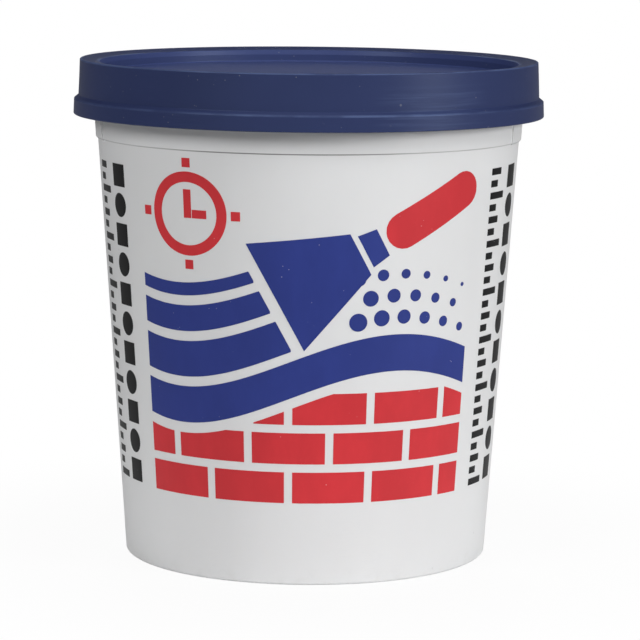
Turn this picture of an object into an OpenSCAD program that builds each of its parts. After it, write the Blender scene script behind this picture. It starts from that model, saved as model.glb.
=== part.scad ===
// A round tapered tub of wall filler with a press-on lid, at real size in millimetres.
// The origin is the centre of the foot, and the tub stands along +Z.

/* [Tub] */
// Outer radius of the wall at the foot, before its corner is rounded
foot_r = 49.05; // [40:0.05:60]
// Height from the foot to the top of the rim
tub_h = 132.2; // [110:0.1:160]
// Lean of the wall from upright, in degrees
wall_draft = 3.925; // [1:0.025:6]
// Thickness of the wall, measured level
wall_t = 1; // [0.7:0.05:1.4]
// Thickness of the floor
floor_t = 1.1; // [0.8:0.05:1.6]
// Radius of the outer corner at the foot
foot_round = 0.7; // [0.3:0.05:1.2]
// Radius of the fillet inside, between floor and wall
inner_fillet = 2; // [1:0.1:5]

/* [Base] */
// Height of the floor's underside above the foot
base_rise = 2; // [1:0.1:4]
// Width of the ring that the tub stands on
foot_w = 2.6; // [2:0.1:5]
// Lean of the recess wall under the floor, in degrees
recess_draft = 12; // [2:1:30]
// Radius of the foot ring's inner corners
foot_fillet = 0.4; // [0.1:0.05:0.8]
// Radius of the moulding gate's mark under the floor
gate_r = 1.4; // [0.8:0.1:3]
// Height of the moulding gate's mark
gate_h = 0.5; // [0.2:0.05:0.9]
// Radius of the shallow ring step moulded under the floor
mark_ring_r = 16; // [10:1:30]
// Width of that ring step
mark_ring_w = 1.2; // [0.6:0.1:2]
// Depth of that ring step
mark_ring_d = 0.3; // [0.15:0.05:0.5]

/* [Collar] */
// Distance from the top of the rim down to the collar's ledge
ledge_drop = 19.35; // [16:0.05:30]
// How far the collar stands out from the wall
collar_out = 0.2; // [0.1:0.05:0.6]
// Height of the sloped ledge under the collar
ledge_h = 0.15; // [0.1:0.05:0.6]
// How far each side pad stands out from the collar
pad_out = 0.35; // [0.15:0.05:0.6]
// Distance from the collar's ledge down to the foot of a side pad
pad_drop = 0.45; // [0.2:0.05:0.8]
// Height of the sloped edge under a side pad
pad_edge_h = 0.6; // [0.3:0.05:1.2]
// Angle that each side pad takes up round the collar
pad_arc = 37.4; // [20:0.2:60]
// Turn of the pads from the tub's sides, in degrees
pad_turn = -1.1; // [-5:0.1:5]

/* [Rim] */
// Distance from the top of the rim down to the shoulder above the collar
neck_h = 11.9; // [10:0.1:14]
// How far the neck stands out from the collar
shoulder_out = 0.9; // [0.5:0.05:1.5]
// Slope of the shoulder, in degrees
shoulder_angle = 45; // [35:1:60]
// How far the rim stands out from the neck
flange_w = 1.75; // [1.4:0.05:3]
// Thickness of the rim's top flange
flange_t = 1; // [0.7:0.05:1.4]
// Thickness of the lip that hangs from the flange
lip_t = 0.9; // [0.7:0.05:1.1]
// Height of the rim from its top to the bottom of the lip
lip_h = 4.6; // [3:0.1:6]
// Radius of the rim's rounded edges
rim_round = 0.3; // [0.1:0.05:0.4]

/* [Lid] */
// Height of the lid from its lower edge to its highest edge
lid_h = 14.7; // [13.4:0.1:16.5]
// Thickness of the lid's skirt and band
lid_t = 1.15; // [0.8:0.05:1.4]
// Thickness of the lid above the rim
roof_t = 1.4; // [1.2:0.05:2]
// Clearance between the rim's top and the lid
seat_gap = 0.1; // [0.05:0.05:0.3]
// Clearance between the rim's lip and the lid's skirt
skirt_gap = 0.4; // [0.2:0.05:0.6]
// Lean of the skirt from upright, in degrees
skirt_draft = 2.3; // [0:0.1:4]
// Radius of the lid's outer top edge
top_round = 0.3; // [0.2:0.05:0.8]
// Height of the lower band below its sloped step
band_h = 4.1; // [3:0.1:5]
// Height of the band's sloped step
step_h = 0.9; // [0.5:0.1:1.6]
// How far the band stands out from the skirt
band_out = 1.15; // [0.6:0.05:1.8]
// Radius of the corners of the band and its step
band_round = 0.3; // [0.1:0.05:0.4]

/* [Recess] */
// Depth of the panel below the lid's highest edge
recess_d = 4; // [3:0.1:6]
// Thickness of the panel
panel_t = 1.1; // [0.8:0.05:1.6]
// How far the rim's top falls towards the recess
roof_drop = 0.72; // [0.2:0.02:0.9]
// Width of the level land at the lid's outer edge
crest_w = 0.6; // [0.3:0.1:1.2]
// Height of the flared upper part of the recess wall
flare_h = 1.3; // [0.6:0.1:1.8]
// How far that upper part leans back
flare_out = 0.3; // [0.1:0.05:0.4]
// Radius of the edge between the rim's top and the recess
edge_round = 0.2; // [0.1:0.05:0.35]
// Radius of the fillet round the panel
panel_fillet = 0.4; // [0.2:0.05:0.8]
// Clearance between the plug and the neck
plug_gap = 0.15; // [0.1:0.05:0.3]
// Thickness of the plug ring
plug_t = 1.15; // [0.8:0.05:1.4]
// How far the plug ring reaches below the panel
plug_h = 2; // [1.2:0.1:3]
// Radius of the dimple round the lid's moulding gate
dimple_r = 3.5; // [2.5:0.1:6]
// Depth of that dimple
dimple_d = 0.4; // [0.2:0.05:0.6]
// Radius of the gate's mark in the dimple
nub_r = 0.9; // [0.5:0.1:1.5]

/* [Snap bead] */
// Number of bead segments round the inside of the skirt
bead_count = 8; // [4:1:16]
// Share of the ring that the bead segments cover
bead_cover_share = 0.6; // [0.3:0.05:0.8]
// Height of the bead
bead_h = 1.6; // [1:0.1:2]
// Clearance between the bead and the lip that it passes
bead_gap = 0.12; // [0.1:0.01:0.2]
// Distance from the bottom of the lip down to the bead's middle
bead_drop = 1.1; // [0.9:0.1:1.4]

/* [Filler] */
// Distance from the top of the rim down to the filler at the wall
fill_drop = 13.4; // [12.5:0.1:40]
// Clearance between the filler and the tub
fill_gap = 0.05; // [0.02:0.01:0.2]
// Height of the filler's middle above its edge
crown_h = 0.7; // [0:0.1:1.2]
// Height of the ripples that mixing leaves in the surface
ripple_h = 0.25; // [0:0.05:0.4]

/* [Hidden] */
$fn = 180;
// steps on a rounded corner and across the filler's surface, and ripples on that surface
corner_steps = 4;
surface_steps = 24;
ripple_count = 2;
// overrun of cuts, and how far an added piece is sunk into its wall
overrun = 1;
sink = 0.4;

floor_z = base_rise + floor_t;
ledge_z = tub_h - ledge_drop;
shoulder_z = tub_h - neck_h;
shoulder_h = shoulder_out * tan(shoulder_angle);
flange_z = tub_h - flange_t;
lip_z = tub_h - lip_h;
fill_z = tub_h - fill_drop;

function wall_r(z) = foot_r + z * tan(wall_draft);
function inner_r(z) = wall_r(z) - wall_t;
function collar_r(z) = wall_r(z) + collar_out;
function pad_r(z) = collar_r(z) + pad_out;

neck_r = collar_r(shoulder_z) + shoulder_out;
neck_in_r = neck_r - wall_t;
rim_r = neck_r + flange_w;
lip_in_r = rim_r - lip_t;
recess_foot_r = foot_r - foot_w;
// the inner shoulder starts higher, so that the sloped wall keeps its thickness
inner_shoulder_z = shoulder_z + wall_t * tan(shoulder_angle / 2);
inner_shoulder_h = (neck_in_r - inner_r(inner_shoulder_z)) * tan(shoulder_angle);

ceiling_z = tub_h + seat_gap;
crest_z = ceiling_z + roof_t;
lid_z = crest_z - lid_h;
skirt_in_r = rim_r + skirt_gap;
skirt_out_r = skirt_in_r + lid_t;
band_top_z = lid_z + band_h;
step_z = band_top_z + step_h;
panel_z = crest_z - recess_d;
panel_under_z = panel_z - panel_t;
edge_z = crest_z - roof_drop;
plug_r = neck_in_r - plug_gap;
recess_r = plug_r - plug_t;
plug_z = panel_under_z - plug_h;
bead_z = lip_z - bead_drop;
bead_arc = 360 / bead_count * bead_cover_share;

// how far the skirt has leaned out at height z
function lean(z) = (ceiling_z - z) * tan(skirt_draft);
function skirt_r(z) = skirt_out_r + lean(z);
function skirt_inner_r(z) = skirt_in_r + lean(z);
function band_r(z) = skirt_r(z) + band_out;

// the corner at q between its neighbours p and s, as an arc of radius r, or as it is where r is 0
function corner(p, q, s, r) =
  r == 0 ? [q] :
  let (
    a = (p - q) / norm(p - q),
    b = (s - q) / norm(s - q),
    half = acos(a * b) / 2,
    centre = q + (a + b) / norm(a + b) * r / sin(half),
    from = q + a * r / tan(half) - centre,
    to = q + b * r / tan(half) - centre,
    sweep = atan2(cross(from, to), from * to)
  )
  [
    for (i = [0 : corner_steps])
      let (t = sweep * i / corner_steps)
      centre + [from[0] * cos(t) - from[1] * sin(t), from[0] * sin(t) + from[1] * cos(t)]
  ];

// an outline of [x, y, radius] points with its corners rounded
function rounded(points) =
  let (n = len(points), at = function (i) [points[i % n][0], points[i % n][1]])
  [for (i = [0 : n - 1]) each corner(at(i + n - 1), at(i), at(i + 1), points[i][2])];

// half of the tub's section, from the axis round the outside and back along the inside
module tub_profile() {
  ledge_top_z = ledge_z + ledge_h;
  polygon(rounded([
    [0, base_rise, 0],
    [recess_foot_r - base_rise * tan(recess_draft), base_rise, foot_fillet],
    [recess_foot_r, 0, foot_fillet],
    [wall_r(0), 0, foot_round],
    [wall_r(ledge_z), ledge_z, 0],
    [collar_r(ledge_top_z), ledge_top_z, 0],
    [collar_r(shoulder_z), shoulder_z, 0],
    [neck_r, shoulder_z + shoulder_h, 0],
    [neck_r, flange_z, 0],
    [lip_in_r, flange_z, 0],
    [lip_in_r, lip_z, rim_round],
    [rim_r, lip_z, rim_round],
    [rim_r, tub_h, rim_round],
    [neck_in_r, tub_h, rim_round],
    [neck_in_r, inner_shoulder_z + inner_shoulder_h, 0],
    [inner_r(inner_shoulder_z), inner_shoulder_z, 0],
    [inner_r(floor_z), floor_z, inner_fillet],
    [0, floor_z, 0]
  ]));
}

// one pad on the collar, centred near +X, sunk in the wall at its foot and in the shoulder at its top
module side_pad() {
  foot_z = ledge_z - pad_drop;
  edge_top_z = foot_z + pad_edge_h;
  edge_slope = pad_edge_h / (collar_out + pad_out);
  top_z = shoulder_z + (pad_out + shoulder_out) / 2 * tan(shoulder_angle);
  rotate([0, 0, pad_turn - pad_arc / 2])
    rotate_extrude(angle = pad_arc)
      polygon([
        [wall_r(foot_z) - sink, foot_z - sink * edge_slope],
        [pad_r(edge_top_z), edge_top_z],
        [pad_r(top_z), top_z],
        [wall_r(top_z) - sink, top_z]
      ]);
}

// the shallow ring step under the floor
module mark_ring() {
  translate([0, 0, base_rise - overrun])
    difference() {
      cylinder(r = mark_ring_r, h = overrun + mark_ring_d);
      translate([0, 0, -overrun])
        cylinder(r = mark_ring_r - mark_ring_w, h = mark_ring_d + overrun * 3);
    }
}

module tub() {
  color("white") {
    difference() {
      union() {
        rotate_extrude() tub_profile();
        side_pad();
        rotate([0, 0, 180]) side_pad();
      }
      mark_ring();
    }
    // mark of the moulding gate, under the floor
    translate([0, 0, base_rise - gate_h])
      cylinder(r1 = gate_r - gate_h / 2, r2 = gate_r, h = gate_h + floor_t / 2);
  }
}

// half of the lid's section, from the foot of the band up the outside, over the rim and back underneath
module lid_profile() {
  polygon(rounded([
    [band_r(lid_z), lid_z, band_round],
    [band_r(band_top_z), band_top_z, band_round],
    [skirt_r(step_z), step_z, band_round],
    [skirt_r(crest_z), crest_z, top_round],
    [skirt_out_r - top_round - crest_w, crest_z, 0],
    [recess_r + flare_out, edge_z, edge_round],
    [recess_r, edge_z - flare_h, 0],
    [recess_r, panel_z, panel_fillet],
    [0, panel_z, 0],
    [0, panel_under_z, 0],
    [recess_r, panel_under_z, panel_fillet],
    [recess_r, plug_z, 0],
    [plug_r - plug_t / 2, plug_z, 0],
    [plug_r, plug_z + plug_h / 2, 0],
    [plug_r, ceiling_z, 0],
    [skirt_in_r, ceiling_z, 0],
    [skirt_inner_r(step_z), step_z, 0],
    [band_r(band_top_z) - lid_t, band_top_z - lid_t * tan(skirt_draft), 0],
    [band_r(lid_z) - lid_t, lid_z, band_round]
  ]));
}

// the bead segments that the lip snaps past, inside the skirt
module snap_bead() {
  tip_r = rim_r + bead_gap;
  root_r = skirt_inner_r(bead_z) + sink;
  for (i = [0 : bead_count - 1])
    rotate([0, 0, i * 360 / bead_count - bead_arc / 2])
      rotate_extrude(angle = bead_arc)
        polygon([
          [root_r, bead_z - bead_h / 2],
          [root_r, bead_z + bead_h / 2],
          [tip_r, bead_z + bead_h / 8],
          [tip_r, bead_z - bead_h / 8]
        ]);
}

module lid() {
  color("darkslateblue") {
    difference() {
      union() {
        rotate_extrude() lid_profile();
        snap_bead();
      }
      // dimple round the moulding gate, in the middle of the panel
      translate([0, 0, panel_z - dimple_d]) cylinder(r = dimple_r, h = dimple_d + overrun);
    }
    translate([0, 0, panel_z - dimple_d - panel_t / 4])
      cylinder(r = nub_r, h = dimple_d * 3 / 4 + panel_t / 4);
  }
}

// height of the filler's surface at a share u of its radius
function surface_z(u) =
  fill_z + crown_h * (1 - u * u) + ripple_h * (1 - u) * cos(360 * ripple_count * u);

module filler() {
  side_gap = fill_gap / cos(wall_draft);
  edge_r = inner_r(fill_z) - side_gap;
  surface = [
    for (i = [0 : surface_steps])
      let (u = 1 - i / surface_steps)
      [edge_r * u, surface_z(u), 0]
  ];
  foot = floor_z + fill_gap;
  color("whitesmoke")
    rotate_extrude()
      polygon(rounded(concat(
        [[0, foot, 0], [inner_r(foot) - side_gap, foot, inner_fillet - fill_gap]],
        surface
      )));
}

tub();
lid();
filler();
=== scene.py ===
"""Looks for a tub of wall filler: plastics, printed inks, paste, floor, light and camera.

Materials, lamps and the camera are in metres. Meshes are worked out in millimetres and
scaled by MM. The front is -Y. On the wall, s is the arc length from the middle of the front
to the right, and z is the height.
"""

import math

import bpy
import numpy as np
from mathutils import Matrix, Vector

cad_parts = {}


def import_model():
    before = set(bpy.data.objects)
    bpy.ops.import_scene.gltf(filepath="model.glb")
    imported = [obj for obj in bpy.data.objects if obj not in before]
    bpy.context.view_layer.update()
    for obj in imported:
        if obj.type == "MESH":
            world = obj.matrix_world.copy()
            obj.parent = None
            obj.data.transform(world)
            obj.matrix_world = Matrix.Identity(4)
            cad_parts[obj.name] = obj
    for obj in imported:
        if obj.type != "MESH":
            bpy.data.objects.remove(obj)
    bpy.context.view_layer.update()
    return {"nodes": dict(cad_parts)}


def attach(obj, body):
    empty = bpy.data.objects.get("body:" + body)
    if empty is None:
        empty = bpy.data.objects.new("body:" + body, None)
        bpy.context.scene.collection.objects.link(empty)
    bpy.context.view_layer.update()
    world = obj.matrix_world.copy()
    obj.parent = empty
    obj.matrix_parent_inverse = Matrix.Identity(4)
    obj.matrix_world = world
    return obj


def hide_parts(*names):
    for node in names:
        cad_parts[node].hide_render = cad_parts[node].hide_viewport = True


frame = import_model()

MM = 0.001

# the tub in mm: the wall's outer radius is FOOT_R + WALL_SLOPE * height
FOOT_R = 49.05
WALL_SLOPE = math.tan(math.radians(3.925))
WALL = 1.0
# arc lengths on the wall are measured on a circle of this radius
PRINT_R = 52.7


class Value:
    """A socket of a shader tree. Arithmetic on it adds Math nodes."""

    def __init__(self, shade, socket):
        self.shade = shade
        self.socket = socket

    def _math(self, operation, *others):
        """The result of a Math node on this value and the others, in that order."""
        feeds = dict(enumerate((self,) + others))
        return self.shade.node("Math", settings={"operation": operation}, feeds=feeds)

    def __add__(self, other):
        return self._math("ADD", other)

    __radd__ = __add__

    def __mul__(self, other):
        return self._math("MULTIPLY", other)

    __rmul__ = __mul__

    def __sub__(self, other):
        return self._math("SUBTRACT", other)

    def __rsub__(self, other):
        return self * -1.0 + other

    def size(self):
        """The value without its sign."""
        return self._math("ABSOLUTE")

    def greatest(self, other):
        """The larger of two values."""
        return self._math("MAXIMUM", other)

    def least(self, other):
        """The smaller of two values."""
        return self._math("MINIMUM", other)

    def hypot(self, other):
        """The square root of the sum of two squares."""
        return (self * self + other * other)._math("SQRT")

    def rise(self, low, high):
        """A smooth step from 0 at low to 1 at high. With low above high it falls instead."""
        ends = (0.0, 1.0) if low < high else (1.0, 0.0)
        return self.shade.node(
            "MapRange",
            settings={"interpolation_type": "SMOOTHSTEP"},
            feeds={
                "Value": self,
                "From Min": min(low, high),
                "From Max": max(low, high),
                "To Min": ends[0],
                "To Max": ends[1],
            },
        )

    def near(self, place, flat, fade):
        """1 within flat of a place, and a smooth fall to 0 at fade from it."""
        return (self - place).size().rise(fade, flat)


class Shade:
    """The shader tree of a material or a world. x, y and z are its coordinates."""

    def __init__(self, owner, coordinates="Object"):
        owner.use_nodes = True
        self.owner = owner
        self.tree = owner.node_tree
        self.tree.nodes.clear()
        self.place = self.node("TexCoord", output=coordinates)
        parts = self.new("SeparateXYZ", feeds={0: self.place})
        self.x, self.y, self.z = (Value(self, out) for out in parts.outputs)

    def feed(self, slot, value):
        """Links a Value to a socket, or sets the socket. A colour gets an alpha of 1."""
        if isinstance(value, Value):
            self.tree.links.new(value.socket, slot)
        elif isinstance(value, tuple) and len(slot.default_value) > len(value):
            slot.default_value = (*value, 1.0)
        else:
            slot.default_value = value

    def new(self, kind, settings=None, feeds=None):
        """A new node, with its settings made first and then its sockets fed."""
        made = self.tree.nodes.new("ShaderNode" + kind)
        for key, value in (settings or {}).items():
            setattr(made, key, value)
        for key, value in (feeds or {}).items():
            self.feed(made.inputs[key], value)
        return made

    def node(self, kind, output=0, settings=None, feeds=None):
        """One output of a new node."""
        return Value(self, self.new(kind, settings, feeds).outputs[output])

    def rays(self, *kinds):
        """For each kind of ray, such as Camera, 1 on that ray and 0 on the others."""
        path = self.new("LightPath")
        return [Value(self, path.outputs[f"Is {kind} Ray"]) for kind in kinds]

    def noise(self, scale, detail=2.0, stretch=(1.0, 1.0, 1.0), rough=0.5, warp=0.0):
        """Perlin noise, about 0.5 on average, of scale cells per metre.

        stretch multiplies the cells along x, y and z.
        """
        place = self.node(
            "VectorMath", settings={"operation": "MULTIPLY"}, feeds={0: self.place, 1: stretch}
        )
        return self.node(
            "TexNoise",
            feeds={
                "Vector": place,
                "Scale": scale,
                "Detail": detail,
                "Roughness": rough,
                "Distortion": warp,
            },
        )

    def dots(self, scale, edge, field, kept):
        """Round dots, one to a cell of which scale go to the metre, where a field is high.

        edge is the two distances, in cells, between which a dot comes up from 0 to 1, and
        kept the two values of the field between which dots come up.
        """
        away = self.node("TexVoronoi", feeds={"Vector": self.place, "Scale": scale})
        return away.rise(*edge) * field.rise(*kept)

    def hairs(self, noise, width, field, kept):
        """Thin lines where a noise is within width of 0.5, kept where a field is high."""
        return noise.near(0.5, 0.0, width) * field.rise(*kept)

    def mix(self, share, first, second):
        """Two colours mixed: the first where share is 0, the second where it is 1."""
        return self.node(
            "Mix",
            output=2,
            settings={"data_type": "RGBA", "clamp_factor": True},
            feeds={0: share, 6: first, 7: second},
        )

    def layered(self, base, *layers):
        """A base colour under layers. A layer is its mask, its strength and its colour."""
        for mask, strength, colour in layers:
            base = self.mix(mask * strength, base, colour)
        return base

    def bump(self, height, distance):
        """A normal from a height of 0 to 1, where 1 stands distance metres high."""
        return self.node("Bump", feeds={"Strength": 1.0, "Distance": distance, "Height": height})

    def surface(self, **sockets):
        """Ends the tree in a Principled shader. Socket names have _ for a space."""
        feeds = {name.replace("_", " "): value for name, value in sockets.items()}
        return self.close(self.node("BsdfPrincipled", feeds=feeds))

    def close(self, shader, kind="OutputMaterial"):
        """Ends the tree in a shader and gives its material or world."""
        self.new(kind, feeds={"Surface": shader})
        return self.owner


def linear(red, green, blue):
    """A screen colour of 0 to 255 as the linear colour that shaders take: the sRGB curve."""
    def one(value):
        share = value / 255
        return share / 12.92 if share <= 0.04045 else ((share + 0.055) / 1.055) ** 2.4

    return one(red), one(green), one(blue)


def tint(colour, factor):
    """A colour times a factor, held at 1."""
    return tuple(min(1.0, part * factor) for part in colour)


WHITE = (0.80, 0.805, 0.81)
# painted shade in the ledge's crease
CREASE_SHADE = (0.19, 0.185, 0.18)
# a painted highlight on the end of a pad
PAD_END_HIGHLIGHT = (0.93, 0.93, 0.935)
GRIME = (0.42, 0.4, 0.36)
SPECK = (0.3, 0.29, 0.27)
BLUE = linear(48, 57, 94)
# pale blue of worn streaks, and of highlights painted on the lid's edges
BLUE_WEAR_AND_HIGHLIGHT = linear(90, 106, 147)
DUST = (0.3, 0.31, 0.34)
PASTE = (0.86, 0.855, 0.83)
INKS = {
    "blue": linear(46, 59, 130),
    "red": linear(203, 54, 60),
    "black": linear(12, 12, 14),
}

# Places on the tub and lid that their materials mark, in metres. A pair is where a mask is 0
# and where it is 1.
LEDGE_Z = 0.11294  # the ledge under the collar
LEDGE_SHADE_X = -0.006  # the painted shade in the ledge's crease is darkest near here
COLLAR_LOW, COLLAR_HIGH = (0.1129, 0.1131), (0.1203, 0.12)
PAD_END_Y = -0.01942  # front end of the right pad, where a highlight is painted
FOOT_Z = (0.006, 0.0)  # grime gathers towards the foot
RECESS_R, RECESS_Z = (0.0568, 0.0563), (0.1290, 0.1293)  # the sunken middle of the lid
PANEL_Z, FLARE_Z = (0.1301, 0.1298), (0.1312, 0.1319)  # its floor and the flare of its wall
CREST_R, CREST_Z = (0.06095, 0.06115), (0.13325, 0.13345)  # the lid's outer top edge
LIP_R, LIP_Z = 0.0567, (0.1328, 0.1330)  # the inner one
STEP_Z = 0.1231  # the step between skirt and band
STEP_HIGHLIGHT_X = 0.008  # the painted highlight and rub on the step are strongest near here
PATCH_X, PATCH_Y, PATCH_Z = 0.031, (-0.03, -0.04), (0.1312, 0.1285)  # worn patch on the skirt


def white_plastic():
    """Semi-gloss white polypropylene.

    White under soft clouds, flow streaks up the wall, scuffs, painted shade in the crease of
    the ledge, a painted highlight on the end of a pad, grime at the foot and specks. Clouds,
    flow streaks, scuffs and grime make it rougher.
    The bump is a fine grain over a coarser one.
    """
    s = Shade(bpy.data.materials.new("white_plastic"))
    cloud = s.noise(18, 3)
    flow = s.noise(90, 3, (1.0, 1.0, 0.12))
    scuff = s.hairs(
        s.noise(260, 4, (1.0, 1.0, 9.0), rough=0.65, warp=0.4), 0.012, s.noise(55, 3), (0.52, 0.72)
    )
    grime = s.z.rise(*FOOT_Z) * s.noise(240, 4, rough=0.65).rise(0.45, 0.75)
    speck = s.dots(150, (0.055, 0.035), s.noise(31, 1), (0.52, 0.64))
    # painted shade: the ledge's crease darkened, most near the front
    crease_shade = s.z.near(LEDGE_Z, 0.00008, 0.00023) * (s.x.near(LEDGE_SHADE_X, 0.012, 0.042) * 0.5 + 0.4)
    collar = s.z.rise(*COLLAR_LOW) * s.z.rise(*COLLAR_HIGH)
    # painted highlight: the front end of the right pad made paler
    pad_end_highlight = s.y.near(PAD_END_Y, 0.00015, 0.00045) * s.x.rise(0.0, 0.01) * collar
    body = s.layered(
        WHITE,
        (cloud.rise(0.3, 0.7), 1.0, tint(WHITE, 0.975)),
        (flow.rise(0.35, 0.75), 0.35, tint(WHITE, 0.955)),
        (scuff, 0.16, tint(WHITE, 0.7)),
        (crease_shade, 1.0, CREASE_SHADE),
        (pad_end_highlight, 0.5, PAD_END_HIGHLIGHT),
        (grime, 0.12, GRIME),
        (speck, 0.25, SPECK),
    )
    grain = s.noise(2600, 2) * 0.5 + s.noise(420, 2, (1.0, 1.0, 0.35)) * 0.9
    return s.surface(
        Base_Color=body,
        Roughness=0.33 + cloud * 0.08 + scuff * 0.18 + grime * 0.2 + flow * 0.05,
        IOR=1.49,
        Normal=s.bump(grain, 0.000018),
        Subsurface_Weight=0.12,
        Subsurface_Radius=(0.0012, 0.0011, 0.001),
        Subsurface_Scale=1.0,
    )


def blue_plastic():
    """Satin dark blue polypropylene.

    Blue under soft clouds, the sunken middle painted lighter as if lit from above with its
    floor lightest, hairlines round the skirt, swirls on the panel, streaks in a worn patch,
    rubbed edges with painted highlights, dust and nicks. The bump is a grain with the
    hairlines cut into it.
    """
    s = Shade(bpy.data.materials.new("blue_plastic"))
    radius = s.x.hypot(s.y)
    cloud = s.noise(26, 3)
    recess = s.z.rise(*RECESS_Z) * radius.rise(*RECESS_R)
    panel = recess * s.z.rise(*PANEL_Z)
    lit_flare = recess * s.z.rise(*FLARE_Z)
    hair = s.hairs(
        s.noise(150, 4, (0.5, 0.5, 14.0), rough=0.7), 0.01, s.noise(42, 2), (0.5, 0.68)
    )
    swirl = panel * s.hairs(
        s.noise(110, 4, (1.6, 1.6, 0.6), rough=0.7, warp=1.2), 0.016, s.noise(36, 2), (0.48, 0.66)
    )
    crest = radius.rise(*CREST_R) * s.z.rise(*CREST_Z)
    step = s.z.near(STEP_Z, 0.00015, 0.0004) * (s.x.near(STEP_HIGHLIGHT_X, 0.016, 0.04) * 0.65 + 0.4)
    # the inner lip's painted highlight is strongest at its left and right ends
    lip = radius.near(LIP_R, 0.0003, 0.0006) * s.z.rise(*LIP_Z)
    lip = lip * (s.x.size().rise(0.04, 0.053) * 0.85 + 0.15)
    patchy = s.noise(95, 3).rise(0.36, 0.6)
    # painted highlights with some rub along the crest, the step and the inner lip
    rub_and_highlight = crest.greatest(step).greatest(lip * 1.3) * (patchy * 0.7 + 0.3)
    patch = s.x.near(PATCH_X, 0.006, 0.017) * s.y.rise(*PATCH_Y) * s.z.rise(*PATCH_Z)
    streak = s.noise(75, 4, (0.55, 0.55, 16.0), rough=0.65).rise(0.44, 0.7) * patch
    nick = s.dots(120, (0.05, 0.03), s.noise(45, 1), (0.5, 0.6))
    dust = s.dots(420, (0.085, 0.05), s.noise(60, 2), (0.46, 0.62))
    body = s.layered(
        BLUE,
        (cloud.rise(0.3, 0.7), 1.0, tint(BLUE, 1.12)),
        # painted light: the sunken middle lighter, as if lit from above, its floor lightest and
        # its wall's flare next
        (panel.greatest(lit_flare * 0.7).greatest(recess * 0.35), 1.0, tint(BLUE, 1.85)),
        (hair, 0.2, tint(BLUE, 2.2)),
        (swirl, 0.22, tint(BLUE, 2.2)),
        (streak, 0.2, BLUE_WEAR_AND_HIGHLIGHT),
        (rub_and_highlight, 0.6, BLUE_WEAR_AND_HIGHLIGHT),
        (dust.greatest(nick), 0.35, DUST),
    )
    grain = s.noise(2200, 2) * 0.6 + s.noise(500, 2, (1.0, 1.0, 2.5)) * 0.5 - hair * 0.4
    return s.surface(
        Base_Color=body,
        Roughness=0.33 + cloud * 0.08 + hair * 0.15 + dust * 0.2 + streak * 0.06,
        Specular_IOR_Level=0.16,
        Specular_Tint=(0.72, 0.84, 1.0),
        Normal=s.bump(grain, 0.000022),
    )


def ink(name, colour):
    """Printed ink: a little thin in places, with pale grain and pinholes to the plastic."""
    s = Shade(bpy.data.materials.new(name))
    cover = s.noise(70, 4, (1.0, 1.0, 0.5), rough=0.6)
    grain = s.noise(1900, 2)
    pin = s.dots(640, (0.09, 0.06), s.noise(150, 2), (0.57, 0.7))
    body = s.layered(
        colour,
        (cover.rise(0.3, 0.75), 1.0, tint(colour, 1.16)),
        (grain.rise(0.6, 0.85), 0.12, tint(colour, 1.8)),
        (pin, 0.55, tint(WHITE, 0.9)),
    )
    return s.surface(
        Base_Color=body,
        Roughness=0.38 + cover * 0.1,
        Specular_IOR_Level=0.18,
        Normal=s.bump(grain, 0.000008),
    )


def paste():
    """Fresh lightweight filler: matt white with shade painted into its pores. The bump is drag
    marks, soft clouds and the pores sunk in."""
    s = Shade(bpy.data.materials.new("filler_paste"))
    cloud = s.noise(60, 4, rough=0.6)
    pores = s.dots(900, (0.3, 0.12), s.noise(210, 2), (0.45, 0.7))
    drag = s.noise(210, 4, (1.0, 0.3, 1.0), rough=0.65, warp=0.9)
    body = s.layered(
        PASTE,
        (cloud.rise(0.3, 0.7), 1.0, tint(PASTE, 0.95)),
        # painted shade in the pores
        (pores, 0.5, tint(PASTE, 0.7)),
    )
    return s.surface(
        Base_Color=body,
        Roughness=0.62 + cloud * 0.14,
        IOR=1.42,
        Normal=s.bump(drag + cloud * 0.4 - pores * 0.5, 0.0009),
        Subsurface_Weight=0.1,
        Subsurface_Radius=(0.002, 0.0018, 0.0016),
        Subsurface_Scale=1.0,
    )


def floor_white():
    """A pale matt floor that keeps the tub's shadow and is plain white to the camera.

    The camera gets 94 parts of plain white and 6 of the lit floor at the foot, and all white
    from 160 mm out. Gloss gets 17 parts of it. The lit floor darkens outwards, so that less
    light comes back from it.
    """
    s = Shade(bpy.data.materials.new("floor_white"))
    camera_ray, gloss, glass = s.rays("Camera", "Glossy", "Transmission")
    radius = s.x.hypot(s.y)
    far = radius.rise(0.055, 0.16)
    pale = s.mix(radius.rise(0.1, 0.28), (0.78, 0.78, 0.78), (0.34, 0.34, 0.34))
    matt = s.node(
        "BsdfPrincipled", feeds={"Base Color": pale, "Roughness": 1.0, "Specular IOR Level": 0.0}
    )
    glow = s.node("Emission", feeds={"Color": (1.0, 1.0, 1.0), "Strength": 1.0})
    share = (camera_ray * (0.94 + far * 0.06)).greatest(gloss.greatest(glass) * 0.17)
    return s.close(s.node("MixShader", feeds={0: share, 1: matt, 2: glow}))


def mesh_piece(name, points, blocks, material):
    """A mesh object at the origin, smooth except where faces meet at more than 35 degrees.

    points are in mm. blocks are arrays of faces, each with one count of corners.
    """
    faces = [face for block in blocks for face in block.tolist()]
    mesh = bpy.data.meshes.new(name)
    mesh.from_pydata((points * MM).tolist(), [], faces)
    mesh.validate()
    mesh.materials.append(material)
    mesh.shade_smooth()
    mesh.set_sharp_from_angle(angle=math.radians(35))
    mesh.update()
    piece = bpy.data.objects.new(name, mesh)
    bpy.context.scene.collection.objects.link(piece)
    return piece


def heights(edge, s):
    """The heights of an edge at s. The edge is a function of s or one height."""
    return edge(s) if callable(edge) else np.full_like(s, edge)


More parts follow.
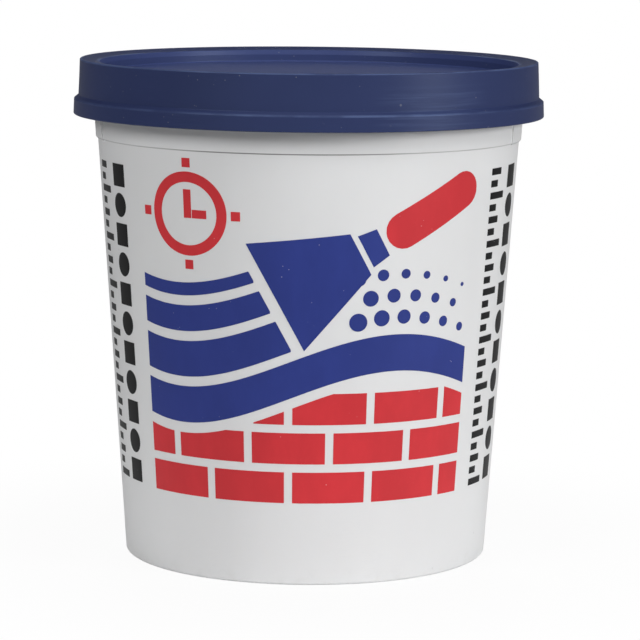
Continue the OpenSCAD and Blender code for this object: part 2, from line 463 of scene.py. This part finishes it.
class Print:
    """Closed patches of one ink on the wall, gathered into one mesh, in mm.

    A patch is a slab between two curves low(s) and high(s), from SINK under the wall's
    surface to LIFT over it. A point at s and z is at the radius FOOT_R + WALL_SLOPE z + lift
    and at the angle s / PRINT_R + turn, counted from the front to the right.
    """

    LIFT, SINK = 0.03, 0.12
    STEP, FINE_STEP = 0.7, 0.22  # between columns
    THINNEST = 0.02  # least height of a patch at any column
    SLIVER, STUB = 0.25, 1.5  # a cut patch ends at the one and is left out below the other
    # corners of a slab's sides as (row, column), for the rows outer low, outer high, inner
    # low and inner high
    SIDES = np.array([
        [(0, 0), (0, 1), (1, 1), (1, 0)],
        [(2, 0), (3, 0), (3, 1), (2, 1)],
        [(1, 0), (1, 1), (3, 1), (3, 0)],
        [(0, 0), (2, 0), (2, 1), (0, 1)],
    ])
    # rows round the first and the last column
    ENDS = np.array([(0, 1, 3, 2), (0, 2, 3, 1)])

    def __init__(self):
        self.turn = 0.0
        self.count = 0
        self.points = []
        self.blocks = []

    def patch(self, s, low, high):
        """Adds a slab between the curves low and high, given at rising values of s."""
        low = np.minimum(low, high - self.THINNEST)
        z = np.stack([low, high, low, high])
        lift = np.array([[self.LIFT], [self.LIFT], [-self.SINK], [-self.SINK]])
        r = FOOT_R + WALL_SLOPE * z + lift
        angle = s / PRINT_R + math.radians(self.turn)
        points = np.stack([r * np.sin(angle), -r * np.cos(angle), z], axis=-1)
        n = len(s)
        sides = self.SIDES[..., 0] * n + self.SIDES[..., 1] + np.arange(n - 1)[:, None, None]
        ends = self.ENDS * n + np.array([[0], [n - 1]])
        self.points.append(points.reshape(-1, 3))
        self.blocks += [sides.reshape(-1, 4) + self.count, ends + self.count]
        self.count += 4 * n

    def columns(self, start, end, step=STEP):
        """Places from start to end, evenly about a step apart."""
        return np.linspace(start, end, max(2, int((end - start) / step) + 2))

    def band(self, start, end, low, high):
        """A patch from start to end between two edges."""
        s = self.columns(start, end)
        self.patch(s, heights(low, s), heights(high, s))

    def polygon(self, corners):
        """A convex polygon of (s, z) corners: at each column, between the lowest and the
        highest crossing of its sides. The columns stop a little short of its ends."""
        short, close, upright = 0.002, 1e-4, 1e-9
        start, end = corners[:, 0].min(), corners[:, 0].max()
        inset = (end - start) * short
        s = np.concatenate([self.columns(start, end), corners[:, 0]])
        s = np.unique(np.clip(s, start + inset, end - inset))
        s = s[np.concatenate([[True], np.diff(s) > close])]
        s0, z0 = corners.T[:, :, None]
        s1, z1 = np.roll(corners, -1, axis=0).T[:, :, None]
        run = np.where(np.abs(s1 - s0) < upright, np.nan, s1 - s0)
        share = (s - s0) / run
        z = np.where((share >= 0) & (share <= 1), z0 + share * (z1 - z0), np.nan)
        self.patch(s, np.nanmin(z, axis=0), np.nanmax(z, axis=0))

    def cut(self, start, end, low, high):
        """Patches between two edges, only where they are far enough apart to print."""
        s = self.columns(start, end, self.FINE_STEP)
        low, high = heights(low, s), heights(high, s)
        keep = high > low + self.SLIVER
        for run in np.split(np.arange(len(s)), np.where(np.diff(keep.astype(int)))[0] + 1):
            if keep[run[0]] and len(run) > 1 and (high - low)[run].max() > self.STUB:
                self.patch(s[run], low[run], high[run])

    def ring(self, s0, z0, outer, inner):
        """A ring of four patches: its left and right ends, and the arcs over and under the
        hole. At s from its middle it reaches up and down by sqrt(radius^2 - s^2). Its columns
        lie at equal angles round it, so that the steep ends stay round."""
        def half(radius, s):
            return np.sqrt(np.maximum(radius**2 - s**2, 0))

        reach, tip = inner * 0.998, 0.03
        end = outer * np.cos(np.linspace(math.acos(reach / outer), tip, 16))
        for s in (-end[::-1], end):
            self.patch(s0 + s, z0 - half(outer, s), z0 + half(outer, s))
        s = reach * np.sin(np.linspace(-math.pi / 2, math.pi / 2, 48))
        self.patch(s0 + s, z0 + half(inner, s), z0 + half(outer, s))
        self.patch(s0 + s, z0 - half(outer, s), z0 - half(inner, s))

    def disc(self, s0, z0, radius):
        """A disc as a polygon of 48 corners at equal angles."""
        t = np.linspace(0, 2 * math.pi, 49)[:-1]
        self.polygon(np.stack([s0 + radius * np.cos(t), z0 + radius * np.sin(t)], 1))


def box(s0, s1, z0, z1):
    """Corners of a rectangle."""
    return [(s0, z0), (s1, z0), (s1, z1), (s0, z1)]


def capsule(length, width, count=12):
    """Corners of a rounded bar along s, centred: two half circles of count corners."""
    t = np.linspace(-math.pi / 2, math.pi / 2, count)
    r = width / 2
    right = np.stack([length / 2 - r + r * np.cos(t), r * np.sin(t)], 1)
    return np.concatenate([right, -right])


def turned(corners, angle, s0, z0):
    """Corners turned by an angle in degrees about the origin, then moved to s0, z0."""
    a = math.radians(angle)
    turn = [[math.cos(a), math.sin(a)], [-math.sin(a), math.cos(a)]]
    return np.asarray(corners, dtype=float) @ turn + (s0, z0)


# the design on the front, in mm: it runs from -HALF to HALF
HALF = 47.0
# a knife at s, z, whose handle points along an angle in degrees
KNIFE = (-8.0, 76.0, 28.0)
# strokes behind the knife and the band under it, as heights over the wave
STROKES = ((12.2, 21.6), (24.2, 31.0), (33.6, 37.0))
BAND = 9.6


def wave(s):
    """The lower edge of the band: a sine of 7.5 mm about 49 mm up, 117.5 mm from crest to
    crest."""
    return 49 + 7.5 * np.sin((s + 6) / 117.5 * 2 * math.pi)


def bricks(red):
    """Five brick courses in running bond, cut off 2.8 mm under the wave."""
    tall, long, joint, foot, shortest = 8.2, 19.5, 2.2, 22.0, 2.0
    for row in range(5):
        z0 = foot + row * (tall + joint)
        first = -HALF - (long + joint) / 2 * (row % 2)
        for k in range(6):
            left = first + k * (long + joint)
            s0, s1 = max(-HALF, left), min(HALF, left + long)
            if s1 - s0 > shortest:
                red.cut(s0, s1, z0, lambda s: np.minimum(z0 + tall, wave(s) - 2.8))


def clock(red, s0, z0):
    """A plain dial: a ring, two hands and four marks round it."""
    outer, inner = 10.9, 8.2
    upright_hand, level_hand = box(-1.1, 1.1, -1.1, 6.3), box(1.3, 5.4, -1.1, 1.1)
    mark = box(12.0, 14.4, -1.2, 1.2)
    red.ring(s0, z0, outer, inner)
    for hand in (upright_hand, level_hand):
        red.polygon(turned(hand, 0, s0, z0))
    for angle in (0, 90, 180, 270):
        red.polygon(turned(mark, angle, s0, z0))


def knife(blue, red):
    """A filling knife seen flat: blade and neck in blue, handle in red. The origin of its
    corners is the middle of the blade's edge."""
    blade = [(0, -15.6), (0, 15.6), (24, 6), (24, -6)]
    neck = [(25.4, -4.6), (25.4, 4.6), (30.4, 3.9), (30.4, -3.9)]
    handle = capsule(30, 9.6) + (46.8, 0)
    s0, z0, angle = KNIFE
    blue.polygon(turned(blade, angle, s0, z0))
    blue.polygon(turned(neck, angle, s0, z0))
    red.polygon(turned(handle, angle, s0, z0))


def dot_field(blue):
    """Dots ahead of the knife, in three staggered rows that follow the wave. They get smaller
    to the right and upwards."""
    start, pitch, over_wave, rise = 13.0, 6.2, 14.2, 5.6
    largest, smallest = 2.35, 0.5
    for k in range(6):
        for j in range(3):
            s = start + pitch * k + pitch / 2 * (j % 2)
            radius = largest - 0.24 * k - 0.3 * j
            if radius > smallest and s < HALF - 0.5:
                blue.disc(s, wave(s) + over_wave + rise * j, radius)


def front_design(blue, red):
    """Bricks that a knife smooths over, with a dial above and dots ahead of the knife.

    The strokes behind the knife follow the wave and end a gap before the line of the
    blade's edge, z = z0 - (s - s0) / tan(angle).
    """
    s0, z0, angle = KNIFE
    gap, last = 3.2, 10

    def behind(s):
        return z0 - (s - s0 + gap) / math.tan(math.radians(angle))

    bricks(red)
    blue.band(-HALF, HALF, wave, lambda s: wave(s) + BAND)
    for low, high in STROKES:
        blue.cut(
            -HALF, last, lambda s: wave(s) + low, lambda s: np.minimum(wave(s) + high, behind(s))
        )
    knife(blue, red)
    clock(red, -31.0, 96.6)
    dot_field(blue)


def strips(black, side):
    """A plain fill scale of ticks beside a row of squares and discs, up one side."""
    centre = side * 62.5
    ticks, lowest, pitch, half = 27, 23.2, 3.2, 0.9
    left, reaches = centre - 8.6, (7.6, 3.6, 5.2, 3.6)
    for k in range(ticks):
        z = lowest + k * pitch
        black.band(left, left + reaches[k % 4], z - half, z + half)
    shapes, lowest, pitch, half, radius = 11, 25.4, 7.9, 3.0, 3.2
    middle = centre + 5
    for k in range(shapes):
        z = lowest + k * pitch
        if k % 2:
            black.disc(middle, z, radius)
        else:
            black.band(middle - radius, middle + radius, z - half, z + half)


def printed():
    """The print, one mesh to an ink: the scales at both sides, and the design on the front
    and again on the back."""
    sheets = {name: Print() for name in INKS}
    for side in (-1, 1):
        strips(sheets["black"], side)
    for turn in (0, 180):
        sheets["blue"].turn = sheets["red"].turn = turn
        front_design(sheets["blue"], sheets["red"])
    for name, sheet in sheets.items():
        material = ink("ink_" + name, INKS[name])
        piece = mesh_piece("print_" + name, np.concatenate(sheet.points), sheet.blocks, material)
        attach(piece, "tub")


def paste_mesh():
    """The paste with its trowelled top: a closed body of revolution with spiral drag marks.

    Its outline goes up the inside of the wall. At the share u of the edge's radius and the
    angle t, the top is at FILL_Z + DOME (1 - u^2)
    + fade(u) (0.34 sin(3 t + 15 u) + 0.16 sin(5 t - 11 u + 1)),
    where fade(u) is the least of 1, 6 (1 - u) and 5 u, so that edge and middle stay plain.
    """
    fill_z, dome, foot, gap = 118.8, 0.35, 3.16, 0.06
    turns, rings = 192, 40
    t = np.linspace(0, 2 * math.pi, turns, endpoint=False)
    edge = FOOT_R + WALL_SLOPE * fill_z - WALL - gap
    side = FOOT_R + WALL_SLOPE * 5.2 - WALL - gap
    outline = np.array([
        (side - 2.4, foot), (side - 0.8, foot + 0.7), (side, foot + 2.0), (edge, fill_z)
    ])
    u = 1 - np.arange(1, rings)[:, None] / rings
    fade = np.minimum(1, (1 - u) * 6) * np.minimum(1, u * 5)
    drag = 0.34 * np.sin(3 * t + 15 * u) + 0.16 * np.sin(5 * t - 11 * u + 1)
    top = fill_z + dome * (1 - u * u) + fade * drag
    r = np.concatenate([outline[:, :1], edge * u])
    z = np.concatenate([np.repeat(outline[:, 1:], turns, axis=1), top])
    points = np.stack([r * np.cos(t), r * np.sin(t), z], axis=-1).reshape(-1, 3)
    points = np.concatenate([points, [(0, 0, foot), (0, 0, fill_z + dome)]])
    # quads between neighbouring rows, then a fan under the foot and one over the top
    foot_centre, top_centre = len(points) - 2, len(points) - 1
    row = np.arange(len(z) - 1)[:, None] * turns
    this = np.arange(turns)
    following = (this + 1) % turns
    quads = np.stack(
        [row + this, row + following, row + turns + following, row + turns + this], axis=-1
    )
    under = np.stack([np.full(turns, foot_centre), following, this], axis=-1)
    last = foot_centre - turns
    over = np.stack([last + this, last + following, np.full(turns, top_centre)], axis=-1)
    piece = mesh_piece("filler_paste", points, [quads.reshape(-1, 4), under, over], paste())
    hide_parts("filler")
    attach(piece, "tub")


def paint(node, material):
    """Gives a CAD node its material and slot."""
    mesh = node.data
    mesh.materials.clear()
    mesh.materials.append(material)


def stage():
    """The floor: one square of 16 m, a tenth of a millimetre under the foot."""
    half, z = 8.0, -0.0001
    corners = [(-half, -half, z), (half, -half, z), (half, half, z), (-half, half, z)]
    mesh = bpy.data.meshes.new("floor")
    mesh.from_pydata(corners, [], [(0, 1, 2, 3)])
    mesh.materials.append(floor_white())
    floor = bpy.data.objects.new("floor", mesh)
    bpy.context.scene.collection.objects.link(floor)


# name, azimuth and elevation in degrees, distance and side in metres, watts, and whether
# gloss mirrors it. Azimuth 0 is in front of the tub and 90 on its right.
LAMPS = (
    ("front", 0, 28, 1.5, 0.6, 2.8, True),
    ("front_right", 45, 40, 1.5, 0.6, 4.4, True),
    ("right", 62, 15, 1.4, 0.4, 9.8, True),
    ("left", -45, 30, 1.5, 0.6, 9.4, True),
    ("top", 0, 88, 1.3, 0.6, 2.2, True),
    ("back", 180, 40, 1.5, 0.3, 2.2, False),
    ("back_low", 180, 12, 1.5, 0.6, 10.0, False),
)


def lamp(name, azimuth, elevation, distance, side, power, mirrored):
    """A square soft box that faces the middle of the tub."""
    a, e = math.radians(azimuth), math.radians(elevation)
    out = Vector((math.sin(a) * math.cos(e), -math.cos(a) * math.cos(e), math.sin(e)))
    light = bpy.data.lights.new(name, "AREA")
    light.shape = "SQUARE"
    light.size = side
    light.energy = power
    holder = bpy.data.objects.new(name, light)
    holder.location = Vector((0, 0, 0.07)) + out * distance
    holder.rotation_mode = "QUATERNION"
    holder.rotation_quaternion = (-out).to_track_quat("-Z", "Y")
    holder.visible_glossy = mirrored
    bpy.context.scene.collection.objects.link(holder)


def world():
    """White to the camera and through clear things, and no light on the tub.

    Gloss alone mirrors a pale backdrop: 0.176 times (y - 0.86) * 9, held between 0 and 1,
    where y is how far a ray's direction points to the back.
    """
    s = Shade(bpy.data.worlds.new("studio"), "Generated")
    camera_ray, gloss, glass = s.rays("Camera", "Glossy", "Transmission")
    backdrop = ((s.y - 0.86) * 9.0).greatest(0.0).least(1.0)
    strength = camera_ray.greatest(glass).greatest(backdrop * gloss * 0.176)
    sky = s.node("Background", feeds={"Color": (1.0, 1.0, 1.0), "Strength": strength})
    bpy.context.scene.world = s.close(sky, "OutputWorld")


def camera():
    """The photograph's camera, from a fit to the outlines of the tub and lid.

    pitch is down, yaw to the right and roll anticlockwise, in degrees. The sensor and the
    focal length are in mm and the place in metres.
    """
    pitch, yaw, roll = (math.radians(v) for v in (8.151, 0.241, 0.54))
    sensor, focal, place = 36.0, 176.06, (0, -0.84469, 0.18371)
    flat = math.cos(pitch)
    ahead = Vector((math.sin(yaw) * flat, math.cos(yaw) * flat, -math.sin(pitch)))
    right = Vector((math.cos(yaw), -math.sin(yaw), 0))
    above = right.cross(ahead)
    image_right = math.cos(roll) * right + math.sin(roll) * above
    image_up = math.cos(roll) * above - math.sin(roll) * right
    lens = bpy.data.cameras.new("camera")
    lens.sensor_width = sensor
    lens.lens = focal
    lens.clip_start, lens.clip_end = 0.05, 50.0
    holder = bpy.data.objects.new("camera", lens)
    turn = Matrix((image_right, image_up, -ahead)).transposed()
    holder.matrix_world = Matrix.Translation(Vector(place)) @ turn.to_4x4()
    bpy.context.scene.collection.objects.link(holder)
    bpy.context.scene.camera = holder


paint(frame["nodes"]["tub"], white_plastic())
paint(frame["nodes"]["lid"], blue_plastic())
paste_mesh()
printed()
stage()
for each in LAMPS:
    lamp(*each)
world()
camera()
bpy.context.scene.view_settings.view_transform = "Standard"
